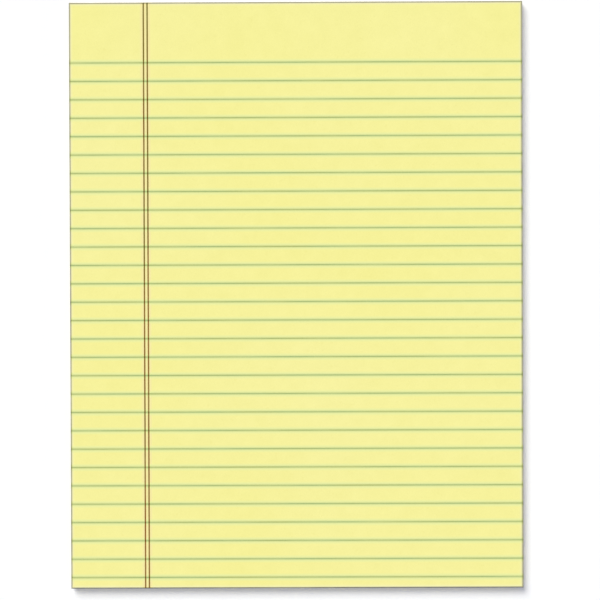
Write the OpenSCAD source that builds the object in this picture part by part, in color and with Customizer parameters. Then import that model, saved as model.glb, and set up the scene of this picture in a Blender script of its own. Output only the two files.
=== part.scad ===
// Glue-top writing pad: a block of ruled sheets on a chipboard back, held together by a film
// of padding glue over the top edge. Every size is in millimetres.
// The pad lies on its back: +X is the page's right, +Y its glued top edge, +Z up from the page.
// The origin is at the middle of the pad's underside.

/* [Sheets] */
// Width of a sheet
sheet_w = 215.9; // [120:0.1:300]
// Length of a sheet, from its glued edge to its free edge
sheet_l = 279.4; // [160:0.1:400]
// Number of sheets in the block
sheet_count = 50; // [20:1:100]
// Thickness that one sheet takes up in the block, with the air beside it
sheet_t = 0.085; // [0.06:0.001:0.12]

/* [Backing board] */
// Thickness of the chipboard back
board_t = 0.7; // [0.4:0.05:1.5]

/* [Glue strip] */
// Thickness of the glue film over the top edge
glue_t = 0.3; // [0.1:0.05:0.8]

/* [Ruling] */
// Blank heading, from the glued edge to the middle of the first ruled line
heading_h = 28.6; // [12:0.1:60]
// Distance from one ruled line to the next
line_pitch = 8.77; // [5:0.01:12]
// Width of a ruled line
line_w = 0.6; // [0.2:0.05:1]
// Distance from the sheet's left edge to the middle of the first margin line
margin_x = 35.5; // [15:0.1:60]
// Distance between the middles of the two margin lines
margin_gap = 1.8; // [1.2:0.1:5]
// Width of a margin line
margin_w = 0.7; // [0.2:0.05:1]
// Depth that the ink soaks into the top sheet
ink_t = 0.02; // [0.01:0.005:0.04]

/* [Hidden] */

board_colour = "#9b907c";
paper_colour = "#f7f29c";
glue_colour = "#e8e2cf";
ruled_ink_colour = "#62b798";
margin_ink_colour = "#93545f";

block_t = sheet_count * sheet_t;
pad_t = board_t + block_t;
ink_z = pad_t - ink_t;
left_edge_x = -sheet_w / 2;
free_edge_y = -(sheet_l + glue_t) / 2;
glued_edge_y = free_edge_y + sheet_l;
line_count = floor((sheet_l - heading_h - line_w) / line_pitch) + 1;
margin_count = 2;
// How far a cutting shape runs past the faces that it cuts
cut_over = 1;

// A box of the sheets' width, from the given y and z upwards.
module sheet_slab(l, t, y, z) {
    translate([left_edge_x, y, z]) cube([sheet_w, l, t]);
}

// One strip across the sheet for each ruled line, from the ink's depth to the page's face.
// A cutting copy runs over the page's face and sides.
module ruled_strips(over = 0) {
    for (i = [0 : line_count - 1])
        translate([left_edge_x - over, glued_edge_y - heading_h - i * line_pitch - line_w / 2, ink_z])
            cube([sheet_w + 2 * over, line_w, ink_t + over]);
}

// One strip down the sheet for each margin line, from the ink's depth to the page's face.
// A cutting copy runs over the page's face and ends.
module margin_strips(over = 0) {
    for (i = [0 : margin_count - 1])
        translate([left_edge_x + margin_x + i * margin_gap - margin_w / 2, free_edge_y - over, ink_z])
            cube([margin_w, sheet_l + 2 * over, ink_t + over]);
}

module backing_board() {
    color(board_colour) sheet_slab(sheet_l, board_t, free_edge_y, 0);
}

// The sheets, with the places that the ink takes up left free in the top one.
module page_block() {
    color(paper_colour) difference() {
        sheet_slab(sheet_l, block_t, free_edge_y, board_t);
        ruled_strips(cut_over);
        margin_strips(cut_over);
    }
}

// The film covers the top edge of the sheets and of the board behind them.
module glue_strip() {
    color(glue_colour) sheet_slab(glue_t, pad_t, glued_edge_y, 0);
}

// Each ruled line runs across the whole sheet and stops at the sides of the margin lines.
module ruled_lines() {
    color(ruled_ink_colour) difference() {
        ruled_strips();
        margin_strips(cut_over);
    }
}

module margin_lines() {
    color(margin_ink_colour) margin_strips();
}

backing_board();
page_block();
glue_strip();
ruled_lines();
margin_lines();
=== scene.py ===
"""Looks of a glue-top writing pad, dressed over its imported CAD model.

A ruled top sheet lies on a stack of loose sheets and a chipboard back. A film of padding glue over
the top edge holds them together. Lengths are in metres, in the CAD model's own frame: +X is the
page's right, +Y its glued edge and +Z up from the page.
"""

import math

import bmesh
import bpy
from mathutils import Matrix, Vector, noise


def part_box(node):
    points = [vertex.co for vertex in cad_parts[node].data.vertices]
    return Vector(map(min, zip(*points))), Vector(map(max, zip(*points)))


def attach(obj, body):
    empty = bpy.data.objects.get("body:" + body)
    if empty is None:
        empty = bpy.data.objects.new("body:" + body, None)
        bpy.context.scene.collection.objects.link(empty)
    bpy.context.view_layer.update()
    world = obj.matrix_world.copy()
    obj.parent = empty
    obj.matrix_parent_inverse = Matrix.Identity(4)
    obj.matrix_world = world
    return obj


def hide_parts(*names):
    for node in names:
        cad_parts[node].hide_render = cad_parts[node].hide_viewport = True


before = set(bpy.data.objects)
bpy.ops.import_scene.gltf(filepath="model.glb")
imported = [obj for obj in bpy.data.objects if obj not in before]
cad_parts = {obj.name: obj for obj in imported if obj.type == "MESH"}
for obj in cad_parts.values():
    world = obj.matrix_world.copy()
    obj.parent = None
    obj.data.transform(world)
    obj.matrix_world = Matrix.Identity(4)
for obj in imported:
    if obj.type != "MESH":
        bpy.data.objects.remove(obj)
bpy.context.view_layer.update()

MM = 0.001
BODY = "root"

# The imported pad's own measures.
PAGE_LO, PAGE_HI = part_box("page_block")
BOARD_LO, BOARD_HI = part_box("backing_board")
GLUE_LO, GLUE_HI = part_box("glue_strip")
SHEET_COUNT = 50
SHEET_PITCH = (PAGE_HI.z - PAGE_LO.z) / SHEET_COUNT
# Part of a sheet's pitch that is paper; the rest is air.
PAPER_PART = 0.92
SHEET_THICKNESS = PAPER_PART * SHEET_PITCH

# How far the cut edges stray from the pad's true sides.
LEAF_SIDE_WANDER = 0.05 * MM
LEAF_END_WANDER = 0.08 * MM
BOARD_EDGE_WANDER = 0.05 * MM

# Board edge: how crushed its rim is, the steps along it, and its raggedness' lumps to a metre.
BOARD_EDGE_ROUND = 0.12 * MM
BOARD_EDGE_STEP = 1.5 * MM
BOARD_EDGE_LUMPS = 700.0
BOARD_PLY_LUMPS = 2100.0

# Glue film: the steps of its mesh, and how much its thickness varies under the brush and over the
# sheets' edges, with so many brush marks and ridges to a metre, drawn out along the edge.
GLUE_STEPS_ALONG = 360
GLUE_STEPS_UP = 40
GLUE_BRUSH_DEPTH = 0.10 * MM
GLUE_BRUSH_SCALE = 900.0
GLUE_BRUSH_STRETCH = (0.12, 1.0, 1.0)
GLUE_RIDGE_DEPTH = 0.05 * MM
GLUE_RIDGE_SCALE = 4200.0
GLUE_RIDGE_STRETCH = (0.02, 1.0, 1.0)
# How far in from its rims the film thins out, and the angle from which its edges look sharp.
GLUE_RIM_ROUND = 0.16 * MM
GLUE_CREASE_DEGREES = 40.0

# Seeds of what is left to chance.
GLUE_SEED = 7
LEAF_SEED = 3

# Band of painted shade and soil along each edge of the top sheet, where its cut edge falls away: how
# dark it is, and how far in from the edge it reaches.
EDGE_SHADE_AND_SOIL_BANDS = {
    "Left": (0.74, 0.85 * MM),
    "Right": (0.68, 1.05 * MM),
    "Free": (1.10, 0.62 * MM),
    "Glued": (0.72, 0.80 * MM),
}
# Part of an edge band of painted shade and soil that is at its darkest.
SHADE_AND_SOIL_FULL_PART = 0.3
# How far in from its edges the paper has faded, and how much.
EDGE_FADE_REACH = 2.2 * MM
EDGE_FADE = 0.8
# How far in from their cut edges the loose sheets show a colour of their own.
LEAF_CUT_REACH = 1.5 * MM

# Ruling ink: how strongly it has soaked into the paper beside its lines, how far its stroke, its
# stain and its faint halo reach from a line's middle, and how it lies along the line.
RULED_BLEED = 0.34
RULED_STROKE = {"Core": 0.08 * MM, "Reach": 0.24 * MM}
RULED_STAIN = {"Core": 0.36 * MM, "Reach": 0.95 * MM}
INK_HALO = {"Core": 0.7 * MM, "Reach": 2.1 * MM}
RULED_HALO_SHARE = 0.8
RULED_LAY = {"Fullness": 0.92, "Unevenness": 0.9, "Hue Scale": 30.0}
RULED_STRETCH = (1.0, 12.0, 1.0)
STROKE_RAGGEDNESS = 0.45
STAIN_RAGGEDNESS = 0.4

# Margin ink: how it lies along its lines, how its redness grows from the glued to the free edge,
# and how the ruled lines show through it.
MARGIN_LAY = {"Fullness": 0.95, "Unevenness": 0.3}
MARGIN_STRETCH = (40.0, 1.0, 1.0)
MARGIN_REDNESS = (0.2, 0.85)
MARGIN_REDNESS_SWAY = 0.3
CROSSING = {"Core": 0.2 * MM, "Reach": 0.5 * MM}
CROSSING_STRENGTH = 0.75

# Fibres: how they lie in the paper, their size where it is cut, how far specks are bent out of
# round, and the specks and hairs of each finish.
FIBRE_STRETCH = (1.0, 0.4, 1.0)
CUT_GRAIN = {"Cloud Scale": 420.0, "Fibre Scale": 5200.0}
FLECK_BEND = 2 * MM
PAPER_FLECKS = {"Scale": 300.0, "Share": 0.02, "Hair Scale": 420.0}
DARK_FLECKS = {"Scale": 620.0, "Share": 0.20, "Hair Scale": 520.0}
PALE_FLECKS = {"Scale": 430.0, "Share": 0.12, "Hair Scale": 340.0}
# How strongly specks and hairs show in the paper and in the board, and the pale ones' relief there.
PAPER_FLECK_STRENGTH = 0.12
PAPER_HAIR_STRENGTH = 0.18
DARK_FLECK_STRENGTH = 0.7
DARK_HAIR_SHARE = 0.7
PALE_FLECK_STRENGTH = 0.8
PALE_HAIR_SHARE = 0.9
PALE_FLECK_RELIEF = 0.4

# Patterns of the sheets' cut edges, of the board and of the glue: how each is drawn out, and its
# lumps to a metre with the finer ones among them.
LEAF_STRETCH = (12.0, 12.0, 1.0 / SHEET_PITCH)
LEAF_SHADES = {"scale": 1.0, "detail": 2.0, "roughness": 0.7}
SHEETS_IN_BUNDLE = 7
BUNDLE_STRETCH = (5.0, 5.0, 1.0 / (SHEETS_IN_BUNDLE * SHEET_PITCH))
BUNDLE_SHADES = {"scale": 1.0, "detail": 1.0}
KNIFE_STRETCH = (300.0, 300.0, 20.0)
KNIFE_MARKS = {"scale": 1.0, "detail": 2.0, "roughness": 0.6}
FELT_STRETCH = (1.0, 0.5, 1.0)
FELT = {"scale": 1500.0, "detail": 6.0, "roughness": 0.75, "distortion": 1.0}
BOARD_PATCHES = {"scale": 70.0, "detail": 5.0, "roughness": 0.7}
STREAK_STRETCH = (0.08, 1.0, 1.0)
GLUE_STREAKS = {"scale": 5200.0, "detail": 3.0, "roughness": 0.6}
POOL_STRETCH = (0.3, 1.0, 1.0)
GLUE_POOLS = {"scale": 260.0, "detail": 3.0, "roughness": 0.55}
# How far bundles of sheets and the knife's marks darken and lighten the cut edges.
BUNDLE_TONE = (0.89, 1.06)
KNIFE_TONE = (0.97, 1.02)
# How far above and below the board's upper face the glue's colour turns.
GLUE_BOARD_BLUR = 0.1 * MM

# Relief of each finish: its height, and how strongly it shows.
PAPER_TOOTH = {"Distance": 0.015 * MM, "Strength": 0.5}
INK_TOOTH = {"Distance": 0.012 * MM, "Strength": 0.3}
LEAF_TOOTH = {"Distance": 0.02 * MM, "Strength": 0.5}
FELT_RELIEF = {"Distance": 0.03 * MM, "Strength": 0.6}
STREAK_RELIEF = {"Distance": 0.02 * MM, "Strength": 0.4}

# Roughness of each finish, from one end of its pattern to the other.
PAPER_ROUGHNESS = (0.78, 0.92)
LEAF_ROUGHNESS = (0.82, 0.95)
RULED_ROUGHNESS = (0.85, 0.68)
MARGIN_ROUGHNESS = (0.85, 0.66)
BOARD_ROUGHNESS = (0.75, 0.95)
GLUE_ROUGHNESS = (0.34, 0.58)

# Vertices of the CAD mesh that are closer than this are one.
WELD = 0.001 * MM

# Map that a piece's finish is painted on. A band is where it starts on the map and how wide it is;
# strips are where the first one starts, the step to the next and how wide each is.
PAINT_MAP = "OFBake"
WHOLE_BAND = (0.01, 0.98)
PAGE_BAND = (0.01, 0.92)
SHEET_EDGE_STRIPS = (0.94, 0.006, 0.005)
SHEET_BACK_BAND = (0.97, 0.02)
STACK_SIDE_STRIPS = (0.01, 0.24, 0.22)
STACK_INSIDE_BAND = (0.97, 0.02)
BOARD_BACK_BAND = (0.01, 0.90)
BOARD_FACE_BAND = (0.92, 0.01)
BOARD_EDGE_STRIPS = (0.94, 0.0125, 0.011)
FILM_OUTSIDE_BAND = (0.01, 0.88)
FILM_TOP_BAND = (0.90, 0.025)
FILM_FOOT_BAND = (0.93, 0.025)
FILM_LEFT_BAND = (0.01, 0.45)
FILM_RIGHT_BAND = (0.51, 0.45)
FILM_END_BAND = (0.96, 0.01)
FILM_BACK_BAND = (0.98, 0.01)

# Least part of a face's normal along a direction for the face to count as looking that way.
FACING = 0.5
BOARD_FACING = 0.9
FILM_FACING = 0.3

# Camera: a long lens straight above the page, turned as the photograph is.
CAMERA_LENS = 100.0
CAMERA_SENSOR = 36.0
CAMERA_PLACE = (5.75 * MM, 3.46 * MM, 799.6 * MM)
CAMERA_TURN_DEGREES = (-0.42, 0.288, -0.200)

# Soft light from beyond the page's top left corner, even light from all round, and more of it from
# below, where the lamp doesn't reach.
LAMP_DIRECTION = Vector((-0.46, 0.80, 1.0))
LAMP_SPREAD_DEGREES = 36.0
LAMP_LEVEL = 0.65
FILL_LEVEL = 0.305
UNDERSIDE_LEVEL = 0.90

# Pale wall low in front of the pad and to its right, which lights the two shaded sides: which way it
# lies, how nearly that way its light is full, how high it reaches and how bright its foot is.
WALL_DIRECTION = Vector((0.55, -0.83, 0.0))
WALL_FULL = 0.7
WALL_TOP = 0.42
WALL_LEVEL = 2.2

# White table: its colour as it shows, the duller one with which it lights the pad, and a bluish glow
# that the camera sees on top, which takes the paper's yellow out of the shadow.
TABLE_COLOUR = (0.935, 0.925, 0.85, 1.0)
TABLE_BOUNCE = (0.70, 0.70, 0.70, 1.0)
TABLE_GLOW = (0.075, 0.092, 0.20, 1.0)
TABLE_SIZE = 3.0
TABLE_DROP = 0.01 * MM
TABLE_HOLE_INSET = 0.15 * MM


def srgb(red, green, blue):
    """A colour given as screen numbers from 0 to 255, as a shader takes it."""
    parts = []
    for part in (red, green, blue):
        value = part / 255
        parts.append(value / 12.92 if value <= 0.04045 else ((value + 0.055) / 1.055) ** 2.4)
    return (*parts, 1.0)


PAPER = srgb(246, 241, 151)
PAPER_PALE = srgb(247, 242, 160)
# Dark olive of the top sheet's edge band: painted shade of its falling-away edge, with soil.
EDGE_SHADE_AND_SOIL = srgb(72, 70, 56)
EDGE_FADED = srgb(243, 241, 222)
RULED_INK = srgb(153, 167, 93)
RULED_INK_BLUE = srgb(142, 171, 110)
RULED_FEATHER = srgb(236, 241, 165)
MARGIN_INK = srgb(110, 100, 14)
MARGIN_INK_RED = srgb(140, 87, 28)
MARGIN_FEATHER = srgb(247, 235, 165)
LEAF_EDGE = srgb(248, 242, 158)
LEAF_EDGE_DEEP = srgb(232, 220, 122)
PAPER_HAIR = srgb(232, 224, 128)
CHIPBOARD = srgb(143, 132, 112)
CHIPBOARD_LIGHT = srgb(168, 157, 137)
CHIPBOARD_DARK = srgb(92, 80, 64)
CHIPBOARD_PALE = srgb(205, 197, 178)
GLUE = srgb(238, 233, 214)
GLUE_THIN = srgb(231, 223, 178)
GLUE_ON_BOARD = srgb(204, 196, 176)


# Small helpers for node trees.


def fill(tree, socket, value):
    """Joins another node's output to the socket, or sets the socket's own value."""
    if isinstance(value, bpy.types.NodeSocket):
        tree.links.new(value, socket)
    else:
        socket.default_value = value


def add(tree, kind, inputs=None, **settings):
    """A new node with these settings, and its inputs filled by name or place."""
    made = tree.nodes.new(kind)
    for name, value in settings.items():
        setattr(made, name, value)
    for key, value in (inputs or {}).items():
        fill(tree, made.inputs[key], value)
    return made


def calc(tree, operation, first, second=0.0):
    """One number from two."""
    return add(tree, "ShaderNodeMath", {0: first, 1: second}, operation=operation).outputs[0]


def remap(tree, value, low, high, to_low, to_high, kind="LINEAR"):
    """The value with low..high stretched to to_low..to_high, and held at the ends."""
    ends = {"Value": value, "From Min": low, "From Max": high, "To Min": to_low, "To Max": to_high}
    return add(tree, "ShaderNodeMapRange", ends, interpolation_type=kind).outputs[0]


def mix(tree, mask, under, over, blend="MIX"):
    """The under colour, turned to the over colour where the mask is 1."""
    # Inputs 6 and 7 and output 2 are the node's colours.
    inputs = {0: mask, 6: under, 7: over}
    return add(tree, "ShaderNodeMix", inputs, data_type="RGBA", blend_type=blend).outputs[2]


def cloud(tree, place, scale, detail=2.0, roughness=0.5, distortion=0.0):
    """Soft noise from 0 to 1 with so many lumps to a metre."""
    inputs = {
        "Vector": place,
        "Scale": scale,
        "Detail": detail,
        "Roughness": roughness,
        "Distortion": distortion,
    }
    return add(tree, "ShaderNodeTexNoise", inputs).outputs[0]


def stretched(tree, place, scale):
    """The place with each of its parts scaled."""
    return add(tree, "ShaderNodeVectorMath", {0: place, 1: scale}, operation="MULTIPLY").outputs[0]


def parts_of(tree, place):
    """The x, y and z of a place."""
    return add(tree, "ShaderNodeSeparateXYZ", {0: place}).outputs


def new_group(name, inputs, outputs):
    """A shader node group: inputs with None are vectors, the others numbers with a usual value."""
    group = bpy.data.node_groups.new(name, "ShaderNodeTree")
    for title, usual in inputs.items():
        kind = "NodeSocketVector" if usual is None else "NodeSocketFloat"
        socket = group.interface.new_socket(title, in_out="INPUT", socket_type=kind)
        if usual is not None:
            socket.default_value = usual
    for title in outputs:
        group.interface.new_socket(title, in_out="OUTPUT", socket_type="NodeSocketFloat")
    given = group.nodes.new("NodeGroupInput").outputs
    result = group.nodes.new("NodeGroupOutput").inputs
    return group, given, result


def use(tree, group, inputs):
    """The outputs of a node group placed in a material."""
    return add(tree, "ShaderNodeGroup", inputs, node_tree=group).outputs


# Effects that several materials share.


def make_sheet_grain():
    """Uneven thickness and fibres of uncoated paper."""
    usual = {"Vector": None, "Cloud Scale": 130.0, "Fibre Scale": 3200.0}
    group, given, result = new_group("sheet_grain", usual, ("Tone", "Paleness", "Tooth"))
    place = given["Vector"]
    broad = cloud(group, place, 9.0, detail=1.0)
    lumps = cloud(group, place, given["Cloud Scale"], detail=3.0, roughness=0.6)
    along = stretched(group, place, FIBRE_STRETCH)
    fibres = cloud(group, along, given["Fibre Scale"], detail=4.0, roughness=0.65, distortion=0.8)
    lump_tone = remap(group, lumps, 0.25, 0.75, 0.985, 1.015)
    fibre_tone = remap(group, fibres, 0.25, 0.75, 0.97, 1.03)
    fill(group, result["Tone"], calc(group, "MULTIPLY", lump_tone, fibre_tone))
    both = calc(group, "ADD", broad, calc(group, "MULTIPLY", lumps, 0.35))
    fill(group, result["Paleness"], remap(group, both, 0.45, 0.90, 0.0, 1.0))
    fill(group, result["Tooth"], calc(group, "ADD", fibres, calc(group, "MULTIPLY", lumps, 0.5)))
    return group


def make_fibre_flecks():
    """Sparse specks, and stray hairs of fibre pressed into the sheet."""
    usual = {"Vector": None, "Scale": 400.0, "Share": 0.1, "Hair Scale": 300.0, "Hair Width": 0.03}
    group, given, result = new_group("fibre_flecks", usual, ("Flecks", "Hairs"))
    bent = add(group, "ShaderNodeTexNoise", {"Vector": given["Vector"], "Scale": given["Scale"]})
    bend = {0: bent.outputs[1], "Scale": FLECK_BEND}
    shift = add(group, "ShaderNodeVectorMath", bend, operation="SCALE").outputs[0]
    moved = add(group, "ShaderNodeVectorMath", {0: given["Vector"], 1: shift}).outputs[0]
    spread = {"Vector": moved, "Scale": given["Scale"]}
    cells = add(group, "ShaderNodeTexVoronoi", spread, feature="F1")
    chosen = parts_of(group, cells.outputs["Color"])[0]
    here = calc(group, "LESS_THAN", chosen, given["Share"])
    spot = remap(group, cells.outputs["Distance"], 0.12, 0.30, 1.0, 0.0, "SMOOTHSTEP")
    fill(group, result["Flecks"], calc(group, "MULTIPLY", spot, here))
    bends = cloud(group, given["Vector"], given["Hair Scale"], detail=1.0, distortion=0.6)
    off_line = calc(group, "ABSOLUTE", calc(group, "SUBTRACT", bends, 0.5))
    lines = remap(group, off_line, 0.0, given["Hair Width"], 1.0, 0.0)
    breaks = cloud(group, given["Vector"], calc(group, "MULTIPLY", given["Hair Scale"], 1.7))
    pieces = remap(group, breaks, 0.50, 0.60, 0.0, 1.0)
    fill(group, result["Hairs"], calc(group, "MULTIPLY", lines, pieces))
    return group


def make_edge_shade_and_soil():
    """A thin band of painted shade and soil along the four cut edges of the top sheet, and a faded
    one inside it.
    """
    usual = {"Vector": None, "Fade Reach": EDGE_FADE_REACH}
    for side, (shade_and_soil, reach) in EDGE_SHADE_AND_SOIL_BANDS.items():
        usual[side] = shade_and_soil
        usual[side + " Reach"] = reach
    group, given, result = new_group("edge_shade_and_soil", usual, ("Shade And Soil", "Fade"))
    place = parts_of(group, given["Vector"])
    gaps = {
        "Left": calc(group, "SUBTRACT", place[0], PAGE_LO.x),
        "Right": calc(group, "SUBTRACT", PAGE_HI.x, place[0]),
        "Free": calc(group, "SUBTRACT", place[1], PAGE_LO.y),
        "Glued": calc(group, "SUBTRACT", PAGE_HI.y, place[1]),
    }
    shade_and_soil = 0.0
    nearest = 1.0
    for side, gap in gaps.items():
        part = calc(group, "DIVIDE", gap, given[side + " Reach"])
        # Each side's band of painted shade and soil: darkest at the free edge.
        band = remap(group, part, SHADE_AND_SOIL_FULL_PART, 1.0, given[side], 0.0)
        shade_and_soil = calc(group, "MAXIMUM", shade_and_soil, band)
        nearest = calc(group, "MINIMUM", nearest, gap)
    patches = remap(group, cloud(group, given["Vector"], 90.0), 0.3, 0.7, 0.82, 1.0)
    fill(group, result["Shade And Soil"], calc(group, "MULTIPLY", shade_and_soil, patches))
    closeness = remap(group, nearest, 0.0, given["Fade Reach"], 1.0, 0.0)
    fill(group, result["Fade"], calc(group, "MULTIPLY", closeness, closeness))
    return group


def strip_middles(node, axis):
    """Middles of a CAD node's parallel strips along an axis, lowest first."""
    sides = sorted({round(vertex.co[axis], 6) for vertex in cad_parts[node].data.vertices})
    return [(low + high) / 2 for low, high in zip(sides[::2], sides[1::2])]


def make_ruling_nearness():
    """1 on the ruled lines and on the margin lines, falling to 0 at a reach from their middles."""
    usual = {"Vector": None, "Core": 0.3 * MM, "Reach": 1.5 * MM}
    group, given, result = new_group("ruling_nearness", usual, ("Ruled", "Margin"))
    x, y, _ = parts_of(group, given["Vector"])
    lines = strip_middles("ruled_lines", axis=1)
    pitch = (lines[-1] - lines[0]) / (len(lines) - 1)
    among = calc(group, "MINIMUM", calc(group, "MAXIMUM", y, lines[0]), lines[-1])
    outside = calc(group, "ABSOLUTE", calc(group, "SUBTRACT", y, among))
    between = calc(group, "PINGPONG", calc(group, "SUBTRACT", among, lines[0]), pitch / 2)
    first, second = strip_middles("margin_lines", axis=0)
    from_middle = calc(group, "ABSOLUTE", calc(group, "SUBTRACT", x, (first + second) / 2))
    beside = calc(group, "ABSOLUTE", calc(group, "SUBTRACT", from_middle, (second - first) / 2))
    away = {"Ruled": calc(group, "ADD", between, outside), "Margin": beside}
    for title, gap in away.items():
        near = remap(group, gap, given["Core"], given["Reach"], 1.0, 0.0, "SMOOTHSTEP")
        fill(group, result[title], near)
    return group


def make_ink_lay():
    """How fully a ruling pen has covered the paper along its line, and where its ink's hue turns."""
    usual = {"Vector": None, "Fullness": 0.85, "Unevenness": 0.3, "Hue Scale": 16.0}
    group, given, result = new_group("ink_lay", usual, ("Coverage", "Hue"))
    slow = calc(group, "SUBTRACT", cloud(group, given["Vector"], 45.0, detail=1.0), 0.5)
    quick = calc(group, "SUBTRACT", cloud(group, given["Vector"], 1200.0, detail=3.0), 0.5)
    sway = calc(group, "ADD", slow, calc(group, "MULTIPLY", quick, 0.6))
    change = calc(group, "MULTIPLY", sway, given["Unevenness"])
    covered = calc(group, "ADD", given["Fullness"], change)
    fill(group, result["Coverage"], remap(group, covered, 0.0, 1.0, 0.0, 1.0))
    turn = cloud(group, given["Vector"], given["Hue Scale"])
    fill(group, result["Hue"], remap(group, turn, 0.35, 0.65, 0.0, 1.0))
    return group


def make_ink_feather():
    """Ink of a given strength, ragged along the fibres where it is neither full nor absent."""
    usual = {"Vector": None, "Strength": 0.5, "Raggedness": 0.5}
    group, given, result = new_group("ink_feather", usual, ("Soaked",))
    fibres = cloud(group, given["Vector"], 4600.0, detail=3.0, roughness=0.6, distortion=1.2)
    thirst = remap(group, fibres, 0.25, 0.75, -2.0, 2.0)
    absent = calc(group, "SUBTRACT", 1.0, given["Strength"])
    partly = calc(group, "MULTIPLY", given["Strength"], absent)
    swing = calc(group, "MULTIPLY", calc(group, "MULTIPLY", thirst, partly), given["Raggedness"])
    soaked = calc(group, "ADD", given["Strength"], swing)
    fill(group, result["Soaked"], remap(group, soaked, 0.0, 1.0, 0.0, 1.0))
    return group


SHEET_GRAIN = make_sheet_grain()
FIBRE_FLECKS = make_fibre_flecks()
EDGE_SHADE_AND_SOIL_GROUP = make_edge_shade_and_soil()
RULING_NEARNESS = make_ruling_nearness()
INK_LAY = make_ink_lay()
INK_FEATHER = make_ink_feather()


# Materials.


def new_material(name, specular):
    """A material with a Principled shader, its node tree and the place on the piece."""
    material = bpy.data.materials.new(name)
    material.use_nodes = True
    tree = material.node_tree
    tree.nodes.clear()
    shader = add(tree, "ShaderNodeBsdfPrincipled", {"Specular IOR Level": specular})
    add(tree, "ShaderNodeOutputMaterial", {"Surface": shader.outputs[0]})
    place = add(tree, "ShaderNodeTexCoord").outputs["Object"]
    return material, tree, shader.inputs, place


def raise_surface(tree, surface, height, relief):
    """Feeds a bump of this relief to the shader."""
    bump = add(tree, "ShaderNodeBump", {"Height": height, **relief})
    fill(tree, surface["Normal"], bump.outputs[0])


def paper_ground(tree, place):
    """The bare sheet's colour, faded at its edges, with its grain and its painted edge shade and
    soil.
    """
    grain = use(tree, SHEET_GRAIN, {"Vector": place})
    worn = use(tree, EDGE_SHADE_AND_SOIL_GROUP, {"Vector": place})
    colour = mix(tree, grain["Paleness"], PAPER, PAPER_PALE)
    colour = mix(tree, calc(tree, "MULTIPLY", worn["Fade"], EDGE_FADE), colour, EDGE_FADED)
    return mix(tree, 1.0, colour, grain["Tone"], "MULTIPLY"), grain, worn["Shade And Soil"]


def ruled_lay(tree, place):
    """How fully the ruling ink lies along its lines, and its colour there."""
    along = stretched(tree, place, RULED_STRETCH)
    lay = use(tree, INK_LAY, {"Vector": along, **RULED_LAY})
    return lay["Coverage"], mix(tree, lay["Hue"], RULED_INK, RULED_INK_BLUE)


def canary_paper():
    """Uncoated yellow writing paper, stained beside its lines."""
    material, tree, surface, place = new_material("canary_paper", specular=0.15)
    colour, grain, shade_and_soil = paper_ground(tree, place)
    stray = use(tree, FIBRE_FLECKS, {"Vector": place, **PAPER_FLECKS})
    flecks = calc(tree, "MULTIPLY", stray["Flecks"], PAPER_FLECK_STRENGTH)
    hairs = calc(tree, "MULTIPLY", stray["Hairs"], PAPER_HAIR_STRENGTH)
    colour = mix(tree, hairs, mix(tree, flecks, colour, PAPER_HAIR), PAPER_HAIR)
    halo = use(tree, RULING_NEARNESS, {"Vector": place, **INK_HALO})
    colour = mix(tree, halo["Margin"], colour, MARGIN_FEATHER)
    colour = mix(tree, halo["Ruled"], colour, RULED_FEATHER)
    beside = use(tree, RULING_NEARNESS, {"Vector": place, **RULED_STAIN})
    bleed = calc(tree, "MULTIPLY", beside["Ruled"], RULED_BLEED)
    stain = {"Vector": place, "Strength": bleed, "Raggedness": STAIN_RAGGEDNESS}
    _, ink = ruled_lay(tree, place)
    colour = mix(tree, use(tree, INK_FEATHER, stain)["Soaked"], colour, ink)
    # Painted edge shade and soil over the sheet's rim.
    fill(tree, surface["Base Color"], mix(tree, shade_and_soil, colour, EDGE_SHADE_AND_SOIL))
    fill(tree, surface["Roughness"], remap(tree, grain["Tooth"], 0.4, 1.1, *PAPER_ROUGHNESS))
    raise_surface(tree, surface, grain["Tooth"], PAPER_TOOTH)
    return material


def leaf_edge_paper():
    """The loose sheets' cut edges: sheets and bundles differ in shade, under faint knife marks."""
    material, tree, surface, place = new_material("leaf_edge_paper", specular=0.12)
    grain = use(tree, SHEET_GRAIN, {"Vector": place, **CUT_GRAIN})
    shade = cloud(tree, stretched(tree, place, LEAF_STRETCH), **LEAF_SHADES)
    bundles = cloud(tree, stretched(tree, place, BUNDLE_STRETCH), **BUNDLE_SHADES)
    marks = cloud(tree, stretched(tree, place, KNIFE_STRETCH), **KNIFE_MARKS)
    colour = mix(tree, remap(tree, shade, 0.35, 0.7, 0.0, 1.0), LEAF_EDGE, LEAF_EDGE_DEEP)
    colour = mix(tree, 1.0, colour, grain["Tone"], "MULTIPLY")
    colour = mix(tree, 1.0, colour, remap(tree, bundles, 0.3, 0.7, *BUNDLE_TONE), "MULTIPLY")
    colour = mix(tree, 1.0, colour, remap(tree, marks, 0.3, 0.7, *KNIFE_TONE), "MULTIPLY")
    cut = use(tree, EDGE_SHADE_AND_SOIL_GROUP, {"Vector": place, "Fade Reach": LEAF_CUT_REACH})["Fade"]
    colour = mix(tree, remap(tree, cut, 0.0, 0.5, 0.0, 1.0), PAPER, colour)
    fill(tree, surface["Base Color"], colour)
    fill(tree, surface["Roughness"], remap(tree, shade, 0.3, 0.7, *LEAF_ROUGHNESS))
    raise_surface(tree, surface, grain["Tooth"], LEAF_TOOTH)
    return material


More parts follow.
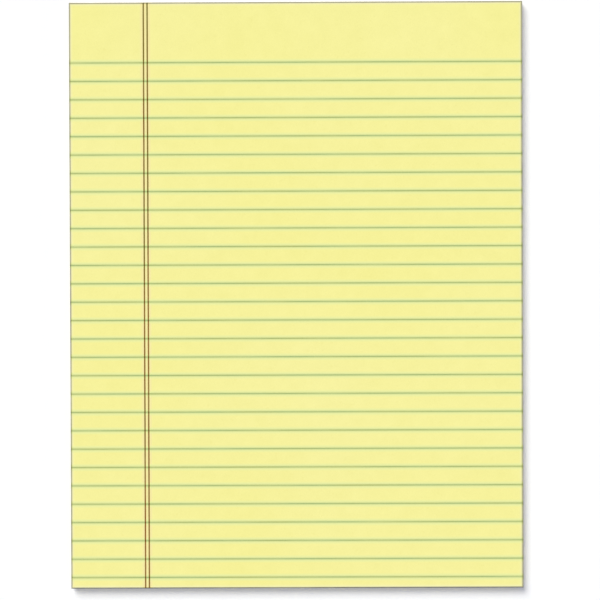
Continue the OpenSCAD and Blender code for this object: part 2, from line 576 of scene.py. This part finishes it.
def ruled_ink():
    """Thin blue-green ruling ink, densest in the middle of its line and half soaked in."""
    material, tree, surface, place = new_material("ruled_ink", specular=0.15)
    ground, grain, shade_and_soil = paper_ground(tree, place)
    ground = mix(tree, RULED_HALO_SHARE, ground, RULED_FEATHER)
    coverage, ink = ruled_lay(tree, place)
    near = use(tree, RULING_NEARNESS, {"Vector": place, **RULED_STROKE})
    strength = remap(tree, near["Ruled"], 0.0, 1.0, RULED_BLEED, coverage)
    stroke = {"Vector": place, "Strength": strength, "Raggedness": STROKE_RAGGEDNESS}
    soaked = use(tree, INK_FEATHER, stroke)["Soaked"]
    colour = mix(tree, soaked, ground, ink)
    # Painted edge shade and soil over the sheet's rim.
    fill(tree, surface["Base Color"], mix(tree, shade_and_soil, colour, EDGE_SHADE_AND_SOIL))
    fill(tree, surface["Roughness"], remap(tree, soaked, 0.0, 1.0, *RULED_ROUGHNESS))
    raise_surface(tree, surface, grain["Tooth"], INK_TOOTH)
    return material


def margin_ink():
    """Brown margin ink, redder down the page and darker where a ruled line runs under it."""
    material, tree, surface, place = new_material("margin_ink", specular=0.15)
    ground, grain, shade_and_soil = paper_ground(tree, place)
    lay = use(tree, INK_LAY, {"Vector": stretched(tree, place, MARGIN_STRETCH), **MARGIN_LAY})
    soaked = use(tree, INK_FEATHER, {"Vector": place, "Strength": lay["Coverage"]})["Soaked"]
    sway = remap(tree, lay["Hue"], 0.0, 1.0, -MARGIN_REDNESS_SWAY, MARGIN_REDNESS_SWAY)
    down_page = remap(tree, parts_of(tree, place)[1], PAGE_HI.y, PAGE_LO.y, *MARGIN_REDNESS)
    ink = mix(tree, calc(tree, "ADD", sway, down_page), MARGIN_INK, MARGIN_INK_RED)
    near = use(tree, RULING_NEARNESS, {"Vector": place, **CROSSING})
    crossing = calc(tree, "MULTIPLY", near["Ruled"], CROSSING_STRENGTH)
    colour = mix(tree, crossing, mix(tree, soaked, ground, ink), RULED_INK, "MULTIPLY")
    # Painted edge shade and soil over the sheet's rim.
    fill(tree, surface["Base Color"], mix(tree, shade_and_soil, colour, EDGE_SHADE_AND_SOIL))
    fill(tree, surface["Roughness"], remap(tree, soaked, 0.0, 1.0, *MARGIN_ROUGHNESS))
    raise_surface(tree, surface, grain["Tooth"], INK_TOOTH)
    return material


def grey_chipboard():
    """Recycled board: a felt of grey and brown fibres with paler and darker specks."""
    material, tree, surface, place = new_material("grey_chipboard", specular=0.2)
    felt = cloud(tree, stretched(tree, place, FELT_STRETCH), **FELT)
    patches = cloud(tree, place, **BOARD_PATCHES)
    colour = mix(tree, remap(tree, felt, 0.34, 0.68, 0.0, 0.8), CHIPBOARD_LIGHT, CHIPBOARD)
    colour = mix(tree, remap(tree, patches, 0.35, 0.7, 0.0, 0.25), colour, CHIPBOARD)
    dark = use(tree, FIBRE_FLECKS, {"Vector": place, **DARK_FLECKS})
    pale = use(tree, FIBRE_FLECKS, {"Vector": place, **PALE_FLECKS})
    dark_hairs = calc(tree, "MULTIPLY", dark["Hairs"], DARK_HAIR_SHARE)
    pale_hairs = calc(tree, "MULTIPLY", pale["Hairs"], PALE_HAIR_SHARE)
    dark_marks = calc(tree, "MAXIMUM", dark["Flecks"], dark_hairs)
    pale_marks = calc(tree, "MAXIMUM", pale["Flecks"], pale_hairs)
    darkened = calc(tree, "MULTIPLY", dark_marks, DARK_FLECK_STRENGTH)
    lightened = calc(tree, "MULTIPLY", pale_marks, PALE_FLECK_STRENGTH)
    colour = mix(tree, darkened, colour, CHIPBOARD_DARK)
    colour = mix(tree, lightened, colour, CHIPBOARD_PALE)
    fill(tree, surface["Base Color"], colour)
    fill(tree, surface["Roughness"], remap(tree, felt, 0.3, 0.7, *BOARD_ROUGHNESS))
    proud = calc(tree, "MULTIPLY", pale_marks, PALE_FLECK_RELIEF)
    raise_surface(tree, surface, calc(tree, "ADD", felt, proud), FELT_RELIEF)
    return material


def padding_glue():
    """Dried padding glue: a satin film, yellower where it is thin and duller over the board."""
    material, tree, surface, place = new_material("padding_glue", specular=0.4)
    streaks = cloud(tree, stretched(tree, place, STREAK_STRETCH), **GLUE_STREAKS)
    pools = cloud(tree, stretched(tree, place, POOL_STRETCH), **GLUE_POOLS)
    grain = use(tree, SHEET_GRAIN, {"Vector": place, **CUT_GRAIN})
    colour = mix(tree, remap(tree, pools, 0.38, 0.66, 0.0, 0.8), GLUE, GLUE_THIN)
    colour = mix(tree, remap(tree, streaks, 0.45, 0.7, 0.0, 0.35), colour, GLUE_THIN)
    above_board = calc(tree, "SUBTRACT", parts_of(tree, place)[2], BOARD_HI.z)
    on_board = remap(tree, above_board, -GLUE_BOARD_BLUR, GLUE_BOARD_BLUR, 0.6, 0.0)
    colour = mix(tree, on_board, colour, GLUE_ON_BOARD)
    colour = mix(tree, 1.0, colour, grain["Tone"], "MULTIPLY")
    fill(tree, surface["Base Color"], colour)
    fill(tree, surface["Roughness"], remap(tree, pools, 0.3, 0.7, *GLUE_ROUGHNESS))
    raise_surface(tree, surface, streaks, STREAK_RELIEF)
    return material


def seen_ray(tree):
    """1 for rays that show the surroundings: from the camera, off gloss or through clear things."""
    path = add(tree, "ShaderNodeLightPath").outputs
    straight = calc(tree, "MAXIMUM", path["Is Camera Ray"], path["Is Glossy Ray"])
    return calc(tree, "MAXIMUM", straight, path["Is Transmission Ray"])


def white_table():
    """Pale table top that keeps the pad's shadow; only its upper side shows."""
    material = bpy.data.materials.new("white_table")
    material.use_nodes = True
    tree = material.node_tree
    tree.nodes.clear()
    seen = seen_ray(tree)
    matt = add(tree, "ShaderNodeBsdfDiffuse", {"Color": mix(tree, seen, TABLE_BOUNCE, TABLE_COLOUR)})
    glow = add(tree, "ShaderNodeEmission", {"Color": TABLE_GLOW, "Strength": seen})
    top = add(tree, "ShaderNodeAddShader", {0: matt.outputs[0], 1: glow.outputs[0]})
    clear = add(tree, "ShaderNodeBsdfTransparent")
    behind = add(tree, "ShaderNodeNewGeometry").outputs["Backfacing"]
    both = add(tree, "ShaderNodeMixShader", {0: behind, 1: top.outputs[0], 2: clear.outputs[0]})
    add(tree, "ShaderNodeOutputMaterial", {"Surface": both.outputs[0]})
    return material


# Pieces.


def share_of(value, low, high):
    """How far a value lies from low to high, from 0 to 1."""
    return (value - low) / (high - low)


def lay_out(piece, spot):
    """A map to paint the piece's finish on; spot places a point by the way that its face looks."""
    mesh = piece.data
    layer = mesh.uv_layers.new(name=PAINT_MAP)
    for face in mesh.polygons:
        for corner in face.loop_indices:
            point = mesh.vertices[mesh.loops[corner].vertex_index].co
            layer.data[corner].uv = spot(face.normal, point)


def along_side(normal, point):
    """Which side of the pad a wall is on, and how far along it the point lies, seen from outside."""
    across = share_of(point.x, BOARD_LO.x, BOARD_HI.x)
    along = share_of(point.y, BOARD_LO.y, BOARD_HI.y)
    if abs(normal.x) > abs(normal.y):
        return (1, along) if normal.x > 0 else (3, 1 - along)
    return (2, 1 - across) if normal.y > 0 else (0, across)


def in_band(band, share):
    """The place on the map that lies at this share of a band's width."""
    start, width = band
    return start + width * share


def in_strip(strips, side, share):
    """The place on the map that lies at this share of the width of a side's strip."""
    start, step, width = strips
    return start + step * side + width * share


def sheet_spot(normal, point):
    """The page takes nearly the whole map; its thin edges and underside share a strip beside it."""
    across = share_of(point.x, PAGE_LO.x, PAGE_HI.x)
    along = share_of(point.y, PAGE_LO.y, PAGE_HI.y)
    if normal.z > FACING:
        return in_band(PAGE_BAND, across), in_band(WHOLE_BAND, along)
    if normal.z < -FACING:
        return in_band(SHEET_BACK_BAND, 1 - across), in_band(WHOLE_BAND, along)
    depth = share_of(point.z, PAGE_HI.z - SHEET_THICKNESS, PAGE_HI.z)
    side, way = along_side(normal, point)
    return in_strip(SHEET_EDGE_STRIPS, side, depth), in_band(WHOLE_BAND, way)


def stack_spot(normal, point):
    """Each side of the stack is one long strip; the faces inside it share a thin band above."""
    if abs(normal.z) > FACING:
        across = share_of(point.x, PAGE_LO.x, PAGE_HI.x)
        along = share_of(point.y, PAGE_LO.y, PAGE_HI.y)
        return in_band(WHOLE_BAND, across), in_band(STACK_INSIDE_BAND, along)
    side, way = along_side(normal, point)
    height = share_of(point.z, PAGE_LO.z, PAGE_HI.z)
    return in_band(WHOLE_BAND, way), in_strip(STACK_SIDE_STRIPS, side, height)


def board_spot(normal, point):
    """The board's back takes nearly the whole map; its edges and hidden face are strips beside it."""
    across = share_of(point.x, BOARD_LO.x, BOARD_HI.x)
    along = share_of(point.y, BOARD_LO.y, BOARD_HI.y)
    if normal.z < -BOARD_FACING:
        return in_band(BOARD_BACK_BAND, 1 - across), in_band(WHOLE_BAND, along)
    if normal.z > BOARD_FACING:
        return in_band(BOARD_FACE_BAND, across), in_band(WHOLE_BAND, along)
    side, way = along_side(normal, point)
    height = share_of(point.z, BOARD_LO.z, BOARD_HI.z)
    return in_strip(BOARD_EDGE_STRIPS, side, height), in_band(WHOLE_BAND, way)


def film_spot(normal, point):
    """The film's outside takes nearly the whole map; its rims, ends and back are bands above it."""
    across = share_of(point.x, GLUE_LO.x, GLUE_HI.x)
    depth = share_of(point.y, GLUE_LO.y, GLUE_HI.y)
    height = share_of(point.z, GLUE_LO.z, GLUE_HI.z)
    if normal.y > FILM_FACING:
        return in_band(WHOLE_BAND, 1 - across), in_band(FILM_OUTSIDE_BAND, height)
    if abs(normal.z) > FACING:
        rim = FILM_TOP_BAND if normal.z > 0 else FILM_FOOT_BAND
        return in_band(WHOLE_BAND, across), in_band(rim, depth)
    if abs(normal.x) > FACING:
        end = FILM_LEFT_BAND if normal.x < 0 else FILM_RIGHT_BAND
        return in_band(end, depth), in_band(FILM_END_BAND, height)
    return in_band(WHOLE_BAND, across), in_band(FILM_BACK_BAND, height)


def place_mesh(name, mesh, material=None):
    """A new object in the scene for a mesh that is already in its place."""
    mesh.name = name
    piece = bpy.data.objects.new(name, mesh)
    bpy.context.scene.collection.objects.link(piece)
    if material:
        mesh.materials.append(material)
    return piece


def plain_mesh(name, shape):
    """A clean mesh with a bmesh's points and faces only."""
    shape.verts.index_update()
    points = [vertex.co[:] for vertex in shape.verts]
    faces = [[vertex.index for vertex in face.verts] for face in shape.faces]
    shape.free()
    mesh = bpy.data.meshes.new(name)
    mesh.from_pydata(points, [], faces)
    mesh.validate()
    return mesh


def make_top_sheet(material):
    """The ruled sheet: the CAD block's top slice, with the ink's places left free in its face."""
    shape = bmesh.new()
    shape.from_mesh(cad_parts["page_block"].data)
    bmesh.ops.remove_doubles(shape, verts=shape.verts, dist=WELD)
    underside = Vector((0.0, 0.0, PAGE_HI.z - SHEET_THICKNESS))
    everything = shape.verts[:] + shape.edges[:] + shape.faces[:]
    bmesh.ops.bisect_plane(
        shape, geom=everything, plane_co=underside, plane_no=(0, 0, 1), clear_inner=True
    )
    rim = [edge for edge in shape.edges if edge.is_boundary]
    bmesh.ops.edgeloop_fill(shape, edges=rim)
    bmesh.ops.recalc_face_normals(shape, faces=shape.faces)
    return place_mesh("top_sheet", plain_mesh("top_sheet", shape), material)


def new_shape_tree(name, inputs):
    """A Geometry Nodes tree with named inputs; gives the tree and its input and output sockets."""
    tree = bpy.data.node_groups.new(name, "GeometryNodeTree")
    for title, kind in inputs.items():
        tree.interface.new_socket(title, in_out="INPUT", socket_type=kind)
    tree.interface.new_socket("Geometry", in_out="OUTPUT", socket_type="NodeSocketGeometry")
    given = tree.nodes.new("NodeGroupInput").outputs
    result = tree.nodes.new("NodeGroupOutput").inputs
    return tree, given, result


def grow(name, tree, values):
    """The plain mesh piece that a Geometry Nodes tree makes from these values."""
    piece = place_mesh(name, bpy.data.meshes.new(name))
    modifier = piece.modifiers.new(tree.name, "NODES")
    modifier.node_group = tree
    for item in tree.interface.items_tree:
        if item.in_out == "INPUT":
            modifier[item.identifier] = values[item.name]
    evaluated = piece.evaluated_get(bpy.context.evaluated_depsgraph_get())
    made = bpy.data.meshes.new_from_object(evaluated)
    piece.modifiers.remove(modifier)
    piece.data = made
    made.name = name
    return piece


def random_number(tree, low, high, seed):
    """A number between low and high for each point."""
    # Inputs 2, 3 and 8 and output 1 are the node's plain numbers.
    inputs = {2: low, 3: high, 8: seed}
    return add(tree, "FunctionNodeRandomValue", inputs, data_type="FLOAT").outputs[1]


def vector(tree, x=0.0, y=0.0, z=0.0):
    """A vector from three numbers."""
    return add(tree, "ShaderNodeCombineXYZ", {0: x, 1: y, 2: z}).outputs[0]


def finish_tree(tree, result, geometry, material):
    """Ends a tree: real faces instead of instances, in one material."""
    real = add(tree, "GeometryNodeRealizeInstances", {"Geometry": geometry})
    inputs = {"Geometry": real.outputs[0], "Material": material}
    fill(tree, result[0], add(tree, "GeometryNodeSetMaterial", inputs).outputs[0])


def leaf_stack_tree():
    """Loose sheets one on the other, flush at the glued edge and a hair uneven at the others."""
    inputs = {
        "Width": "NodeSocketFloat",
        "Length": "NodeSocketFloat",
        "Thickness": "NodeSocketFloat",
        "Pitch": "NodeSocketFloat",
        "Count": "NodeSocketInt",
        "Glued Edge": "NodeSocketFloat",
        "Bottom": "NodeSocketFloat",
        "Side Wander": "NodeSocketFloat",
        "End Wander": "NodeSocketFloat",
        "Seed": "NodeSocketInt",
        "Paper": "NodeSocketMaterial",
    }
    tree, given, result = new_shape_tree("leaf_stack", inputs)
    start = vector(tree, y=given["Glued Edge"], z=given["Bottom"])
    rise = vector(tree, z=given["Pitch"])
    line = {"Count": given["Count"], "Start Location": start, "Offset": rise}
    heights = add(tree, "GeometryNodeMeshLine", line, mode="OFFSET").outputs[0]
    negative = calc(tree, "MULTIPLY", given["Side Wander"], -1.0)
    aside = vector(tree, x=random_number(tree, negative, given["Side Wander"], given["Seed"]))
    moved = add(tree, "GeometryNodeSetPosition", {"Geometry": heights, "Offset": aside}).outputs[0]
    both_sides = calc(tree, "MULTIPLY", given["Side Wander"], 2.0)
    width = calc(tree, "SUBTRACT", given["Width"], both_sides)
    leaf = add(
        tree,
        "GeometryNodeMeshCube",
        {"Size": vector(tree, width, given["Length"], given["Thickness"])},
    ).outputs[0]
    back = calc(tree, "MULTIPLY", given["Length"], -0.5)
    up = calc(tree, "MULTIPLY", given["Thickness"], 0.5)
    hung = add(
        tree, "GeometryNodeTransform", {"Geometry": leaf, "Translation": vector(tree, y=back, z=up)}
    ).outputs[0]
    most_trim = calc(tree, "DIVIDE", given["End Wander"], given["Length"])
    shortest = calc(tree, "SUBTRACT", 1.0, most_trim)
    next_seed = calc(tree, "ADD", given["Seed"], 1.0)
    trim = vector(tree, 1.0, random_number(tree, shortest, 1.0, next_seed), 1.0)
    placed = add(
        tree, "GeometryNodeInstanceOnPoints", {"Points": moved, "Instance": hung, "Scale": trim}
    ).outputs[0]
    finish_tree(tree, result, placed, given["Paper"])
    return tree


def make_leaf_stack(material):
    """All the sheets under the top one."""
    values = {
        "Width": PAGE_HI.x - PAGE_LO.x,
        "Length": PAGE_HI.y - PAGE_LO.y,
        "Thickness": SHEET_THICKNESS,
        "Pitch": SHEET_PITCH,
        "Count": SHEET_COUNT - 1,
        "Glued Edge": PAGE_HI.y,
        "Bottom": PAGE_LO.z,
        "Side Wander": LEAF_SIDE_WANDER,
        "End Wander": LEAF_END_WANDER,
        "Seed": LEAF_SEED,
        "Paper": material,
    }
    return grow("leaf_stack", leaf_stack_tree(), values)


def glue_film_tree():
    """A brushed film: flat on the sheets, uneven outside, thinning out at its rims."""
    inputs = {
        "Width": "NodeSocketFloat",
        "Thickness": "NodeSocketFloat",
        "Height": "NodeSocketFloat",
        "Steps Along": "NodeSocketInt",
        "Steps Up": "NodeSocketInt",
        "Glued Edge": "NodeSocketFloat",
        "Brush Depth": "NodeSocketFloat",
        "Ridge Depth": "NodeSocketFloat",
        "Rim Round": "NodeSocketFloat",
        "Seed": "NodeSocketInt",
        "Glue": "NodeSocketMaterial",
    }
    tree, given, result = new_shape_tree("glue_film", inputs)
    size = vector(tree, given["Width"], given["Thickness"], given["Height"])
    steps = {
        "Size": size,
        "Vertices X": given["Steps Along"],
        "Vertices Y": 2,
        "Vertices Z": given["Steps Up"],
    }
    slab = add(tree, "GeometryNodeMeshCube", steps).outputs[0]
    place = add(tree, "GeometryNodeInputPosition").outputs[0]
    x, y, z = parts_of(tree, place)
    shifted = vector(tree, z=given["Seed"])
    seeded = add(tree, "ShaderNodeVectorMath", {0: place, 1: shifted}).outputs[0]
    brushed = stretched(tree, seeded, GLUE_BRUSH_STRETCH)
    strokes = cloud(tree, brushed, GLUE_BRUSH_SCALE, detail=2.0)
    ridged = stretched(tree, seeded, GLUE_RIDGE_STRETCH)
    ridges = cloud(tree, ridged, GLUE_RIDGE_SCALE, detail=1.0)
    hollow = calc(
        tree,
        "ADD",
        calc(tree, "MULTIPLY", strokes, given["Brush Depth"]),
        calc(tree, "MULTIPLY", ridges, given["Ridge Depth"]),
    )
    half_height = calc(tree, "MULTIPLY", given["Height"], 0.5)
    to_rim = calc(tree, "SUBTRACT", half_height, calc(tree, "ABSOLUTE", z))
    half_width = calc(tree, "MULTIPLY", given["Width"], 0.5)
    to_end = calc(tree, "SUBTRACT", half_width, calc(tree, "ABSOLUTE", x))
    nearest = calc(tree, "MINIMUM", to_rim, to_end)
    closeness = remap(tree, nearest, 0.0, given["Rim Round"], 1.0, 0.0)
    rounding = calc(tree, "MULTIPLY", closeness, closeness)
    rim = calc(tree, "MULTIPLY", rounding, calc(tree, "MULTIPLY", given["Rim Round"], 0.5))
    inward = calc(tree, "MULTIPLY", calc(tree, "ADD", hollow, rim), -1.0)
    outside = calc(tree, "GREATER_THAN", y, 0.0)
    shaped = add(
        tree,
        "GeometryNodeSetPosition",
        {"Geometry": slab, "Selection": outside, "Offset": vector(tree, y=inward)},
    ).outputs[0]
    half_thick = calc(tree, "MULTIPLY", given["Thickness"], 0.5)
    middle = vector(tree, y=calc(tree, "ADD", given["Glued Edge"], half_thick), z=half_height)
    moved = add(
        tree, "GeometryNodeTransform", {"Geometry": shaped, "Translation": middle}
    ).outputs[0]
    finish_tree(tree, result, moved, given["Glue"])
    return tree


def make_glue_film(material):
    """The film of padding glue over the top edge."""
    values = {
        "Width": GLUE_HI.x - GLUE_LO.x,
        "Thickness": GLUE_HI.y - GLUE_LO.y,
        "Height": GLUE_HI.z - GLUE_LO.z,
        "Steps Along": GLUE_STEPS_ALONG,
        "Steps Up": GLUE_STEPS_UP,
        "Glued Edge": GLUE_LO.y,
        "Brush Depth": GLUE_BRUSH_DEPTH,
        "Ridge Depth": GLUE_RIDGE_DEPTH,
        "Rim Round": GLUE_RIM_ROUND,
        "Seed": GLUE_SEED,
        "Glue": material,
    }
    film = grow("glue_film", glue_film_tree(), values)
    film.data.shade_smooth()
    film.data.set_sharp_from_angle(angle=math.radians(GLUE_CREASE_DEGREES))
    return film


def outline_points(low, high, step):
    """Points round a rectangle, with the outward direction at each."""
    corners = [(low.x, low.y), (high.x, low.y), (high.x, high.y), (low.x, high.y)]
    outward = [(0, -1), (1, 0), (0, 1), (-1, 0)]
    points = []
    for side, (start, way) in enumerate(zip(corners, outward)):
        end = corners[(side + 1) % 4]
        before = outward[side - 1]
        points.append((Vector(start), Vector(way) + Vector(before)))
        length = (Vector(end) - Vector(start)).length
        count = round(length / step)
        for i in range(1, count):
            points.append((Vector(start).lerp(Vector(end), i / count), Vector(way)))
    return points


def make_chipboard_back(material):
    """The board behind the sheets: square cut, with slightly crushed and ragged edges."""
    shape = bmesh.new()
    top = BOARD_HI.z
    # The rim's section from the back upwards: a height, and how far in from the side it lies.
    levels_and_insets = [
        (0.0, BOARD_EDGE_ROUND),
        (0.3 * BOARD_EDGE_ROUND, 0.3 * BOARD_EDGE_ROUND),
        (BOARD_EDGE_ROUND, 0.0),
        (top / 2, 0.0),
        (top - BOARD_EDGE_ROUND, 0.0),
        (top, 0.5 * BOARD_EDGE_ROUND),
    ]
    outline = outline_points(BOARD_LO, BOARD_HI, BOARD_EDGE_STEP)
    rings = []
    for z, inset in levels_and_insets:
        ring = []
        for point, way in outline:
            spot = (point.x * BOARD_EDGE_LUMPS, point.y * BOARD_EDGE_LUMPS, z * BOARD_PLY_LUMPS)
            depth = inset + BOARD_EDGE_WANDER * (0.5 + 0.5 * noise.noise(spot))
            place = point - way * depth
            ring.append(shape.verts.new((place.x, place.y, z)))
        rings.append(ring)
    for lower, upper in zip(rings, rings[1:]):
        for i in range(len(lower)):
            after = (i + 1) % len(lower)
            shape.faces.new((lower[i], lower[after], upper[after], upper[i]))
    shape.faces.new(reversed(rings[0]))
    shape.faces.new(rings[-1])
    return place_mesh("chipboard_back", plain_mesh("chipboard_back", shape), material)


def dress(piece, spot, node):
    """Gives a piece its map, ties it to its body and hides the CAD node it stands for."""
    lay_out(piece, spot)
    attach(piece, BODY)
    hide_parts(node)


# Surroundings.


def make_table():
    """A wide pale table, open under the pad so that its underside can be looked at."""
    reach = TABLE_SIZE / 2
    outer = [(-reach, -reach), (reach, -reach), (reach, reach), (-reach, reach)]
    left, right = BOARD_LO.x + TABLE_HOLE_INSET, BOARD_HI.x - TABLE_HOLE_INSET
    near, far = BOARD_LO.y + TABLE_HOLE_INSET, BOARD_HI.y - TABLE_HOLE_INSET
    inner = [(left, near), (right, near), (right, far), (left, far)]
    points = [(x, y, -TABLE_DROP) for x, y in outer + inner]
    faces = [(i, (i + 1) % 4, 4 + (i + 1) % 4, 4 + i) for i in range(4)]
    mesh = bpy.data.meshes.new("table")
    mesh.from_pydata(points, [], faces)
    table = place_mesh("table", mesh, white_table())


def make_lamp():
    """One broad soft lamp from beyond the page's top left corner."""
    direction = LAMP_DIRECTION.normalized()
    lamp = bpy.data.lights.new("soft_lamp", "SUN")
    lamp.angle = math.radians(LAMP_SPREAD_DEGREES)
    lamp.energy = LAMP_LEVEL * math.pi / direction.z
    holder = bpy.data.objects.new("soft_lamp", lamp)
    holder.rotation_euler = direction.to_track_quat("Z", "Y").to_euler()
    bpy.context.scene.collection.objects.link(holder)


def wall_light(tree, direction):
    """Light from the pale wall: brightest at its foot, fading upwards and to both ends."""
    inputs = {0: direction, 1: WALL_DIRECTION}
    facing = add(tree, "ShaderNodeVectorMath", inputs, operation="DOT_PRODUCT").outputs["Value"]
    height = parts_of(tree, direction)[2]
    across = remap(tree, facing, 0.0, WALL_FULL, 0.0, 1.0)
    upwards = remap(tree, height, 0.0, WALL_TOP, WALL_LEVEL, 0.0)
    above_table = calc(tree, "GREATER_THAN", height, 0.0)
    return calc(tree, "MULTIPLY", above_table, calc(tree, "MULTIPLY", across, upwards))


def make_surroundings():
    """Even light from all round and a low pale wall, all of which shows as white."""
    world = bpy.data.worlds.new("white_room")
    bpy.context.scene.world = world
    world.use_nodes = True
    tree = world.node_tree
    tree.nodes.clear()
    direction = add(tree, "ShaderNodeTexCoord").outputs["Generated"]
    below = calc(tree, "LESS_THAN", parts_of(tree, direction)[2], 0.0)
    even = remap(tree, below, 0.0, 1.0, FILL_LEVEL, UNDERSIDE_LEVEL)
    level = calc(tree, "ADD", even, wall_light(tree, direction))
    shown = remap(tree, seen_ray(tree), 0.0, 1.0, level, 1.0)
    light = add(tree, "ShaderNodeBackground", {"Color": (1.0, 1.0, 1.0, 1.0), "Strength": shown})
    add(tree, "ShaderNodeOutputWorld", {"Surface": light.outputs[0]})


def make_camera():
    """The photograph's view: straight down on the page, a hair turned."""
    lens = bpy.data.cameras.new("page_camera")
    lens.lens = CAMERA_LENS
    lens.sensor_width = CAMERA_SENSOR
    camera = bpy.data.objects.new("page_camera", lens)
    camera.location = CAMERA_PLACE
    camera.rotation_euler = [math.radians(turn) for turn in CAMERA_TURN_DEGREES]
    bpy.context.scene.collection.objects.link(camera)
    bpy.context.scene.camera = camera


def build():
    """Makes the pieces, gives the ink its finish and sets the scene."""
    dress(make_top_sheet(canary_paper()), sheet_spot, "page_block")
    dress(make_leaf_stack(leaf_edge_paper()), stack_spot, "page_block")
    dress(make_chipboard_back(grey_chipboard()), board_spot, "backing_board")
    dress(make_glue_film(padding_glue()), film_spot, "glue_strip")
    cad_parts["ruled_lines"].material_slots[0].material = ruled_ink()
    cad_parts["margin_lines"].material_slots[0].material = margin_ink()
    make_table()
    make_lamp()
    make_surroundings()
    make_camera()
    bpy.context.scene.view_settings.view_transform = "Standard"


build()
